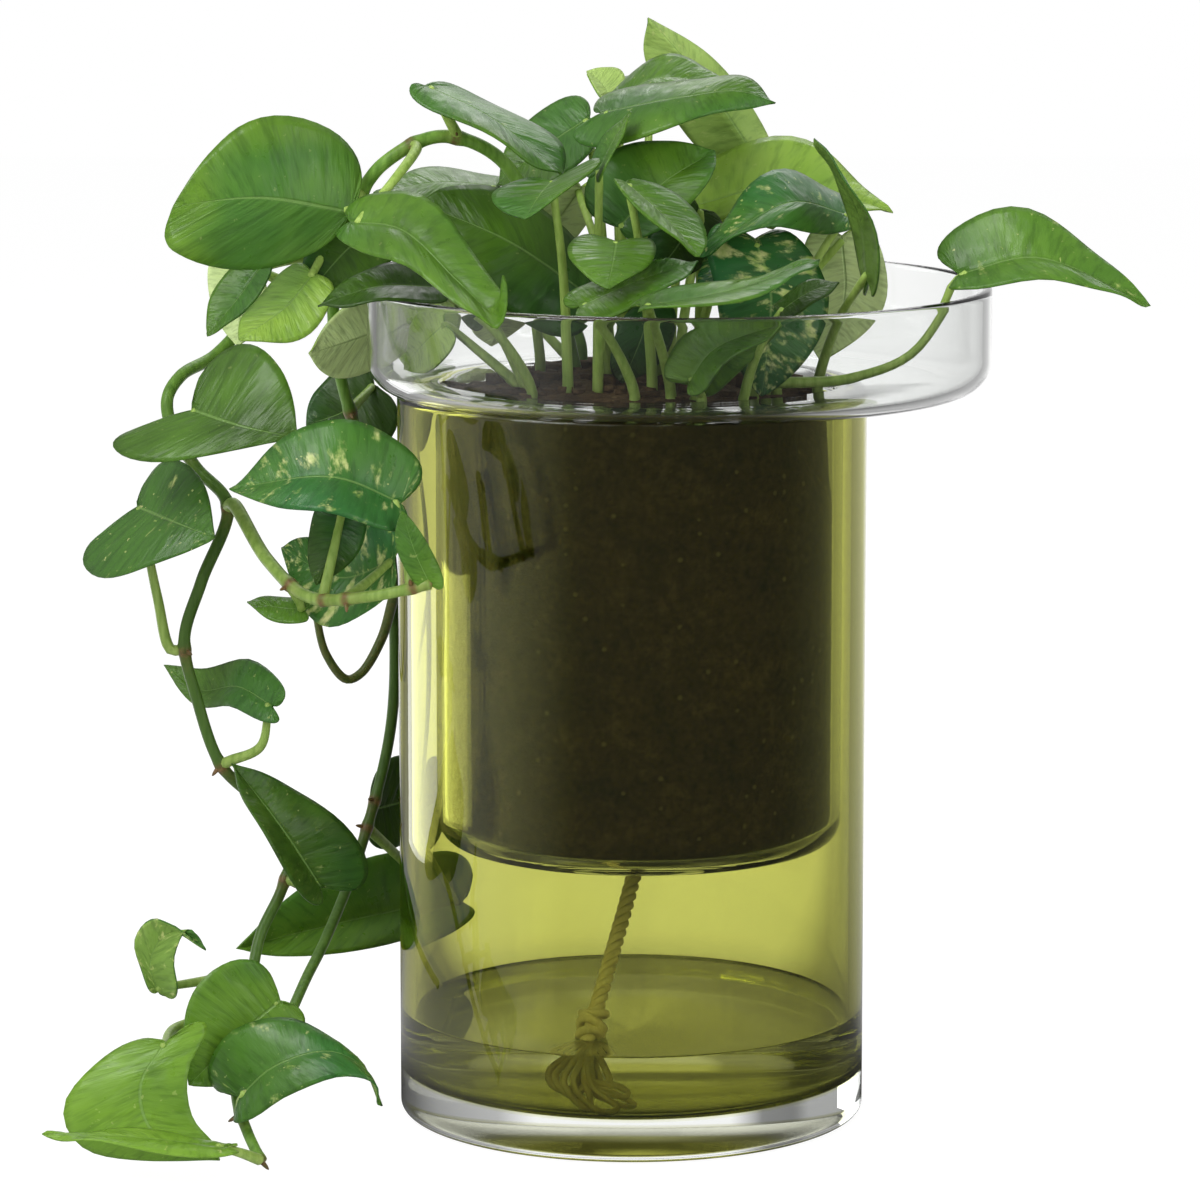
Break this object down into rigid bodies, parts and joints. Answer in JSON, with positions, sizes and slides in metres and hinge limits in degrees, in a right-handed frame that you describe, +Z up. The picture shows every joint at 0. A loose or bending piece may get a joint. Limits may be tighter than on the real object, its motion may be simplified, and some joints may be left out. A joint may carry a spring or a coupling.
{
  "type": "self-watering pot",
  "caption": "Clear glass planter with a wide off-centre dish, hung in a tinted cylindrical glass vessel, with a cotton wick down to reservoir water, soil and a trailing vine.",
  "frame": {"origin": "middle of the vessel's underside, on the surface that it stands on", "axes": "+Z up along the vessel's axis; +X towards the dish's wide side; -Y towards the viewer"},
  "size_m": [0.3633, 0.2305, 0.3745],
  "materials": {
    "vessel_glass": "polished",
    "planter_glass": "polished",
    "water": "polished",
    "soil": "matte",
    "cotton": "matte",
    "stem": "satin",
    "leaf": "satin"
  },
  "bodies": {
    "vessel": {"outer_vessel": "vessel_glass", "reservoir_water": "water"},
    "planter": {"planter_insert": "planter_glass", "wick_rope": "cotton", "wick_knot": "cotton", "wick_loops": "cotton"},
    "plant": {"soil_plug": "soil", "vine_long": "stem", "vine_behind": "stem", "vine_shoot": "stem", "crown_leaf_01": "leaf", "crown_leaf_02": "leaf", "crown_leaf_03": "leaf", "crown_leaf_04": "leaf", "crown_leaf_05": "leaf", "crown_leaf_06": "leaf", "crown_leaf_07": "leaf", "crown_leaf_08": "leaf", "crown_leaf_09": "leaf", "crown_leaf_10": "leaf", "crown_leaf_11": "leaf", "crown_leaf_12": "leaf", "crown_leaf_13": "leaf", "crown_leaf_14": "leaf", "crown_leaf_15": "leaf", "crown_leaf_16": "leaf", "crown_leaf_17": "leaf", "crown_leaf_18": "leaf", "crown_leaf_19": "leaf", "crown_leaf_20": "leaf", "crown_leaf_21": "leaf", "crown_leaf_22": "leaf", "crown_leaf_23": "leaf", "crown_leaf_24": "leaf", "crown_leaf_25": "leaf", "crown_leaf_26": "leaf", "outlier_leaf": "leaf", "trail_leaf_01": "leaf", "trail_leaf_02": "leaf", "trail_leaf_03": "leaf", "trail_leaf_04": "leaf", "trail_leaf_05": "leaf", "trail_leaf_06": "leaf", "trail_leaf_07": "leaf", "trail_leaf_08": "leaf", "trail_leaf_09": "leaf", "trail_leaf_10": "leaf", "trail_leaf_11": "leaf", "trail_leaf_12": "leaf", "trail_leaf_13": "leaf", "trail_leaf_14": "leaf", "trail_leaf_15": "leaf", "trail_leaf_16": "leaf", "trail_leaf_17": "leaf", "trail_leaf_18": "leaf", "trail_leaf_19": "leaf", "trail_leaf_20": "leaf", "trail_leaf_21": "leaf", "trail_leaf_22": "leaf", "trail_leaf_23": "leaf"}
  },
  "joints": [
    {"name": "planter_lift", "type": "slide", "parent": "vessel", "child": "planter", "axis": [0, 0, 1], "range_m": [0, 0.3]},
    {"name": "plant_lift", "type": "slide", "parent": "planter", "child": "plant", "axis": [0, 0, 1], "range_m": [0, 0.2]}
  ]
}
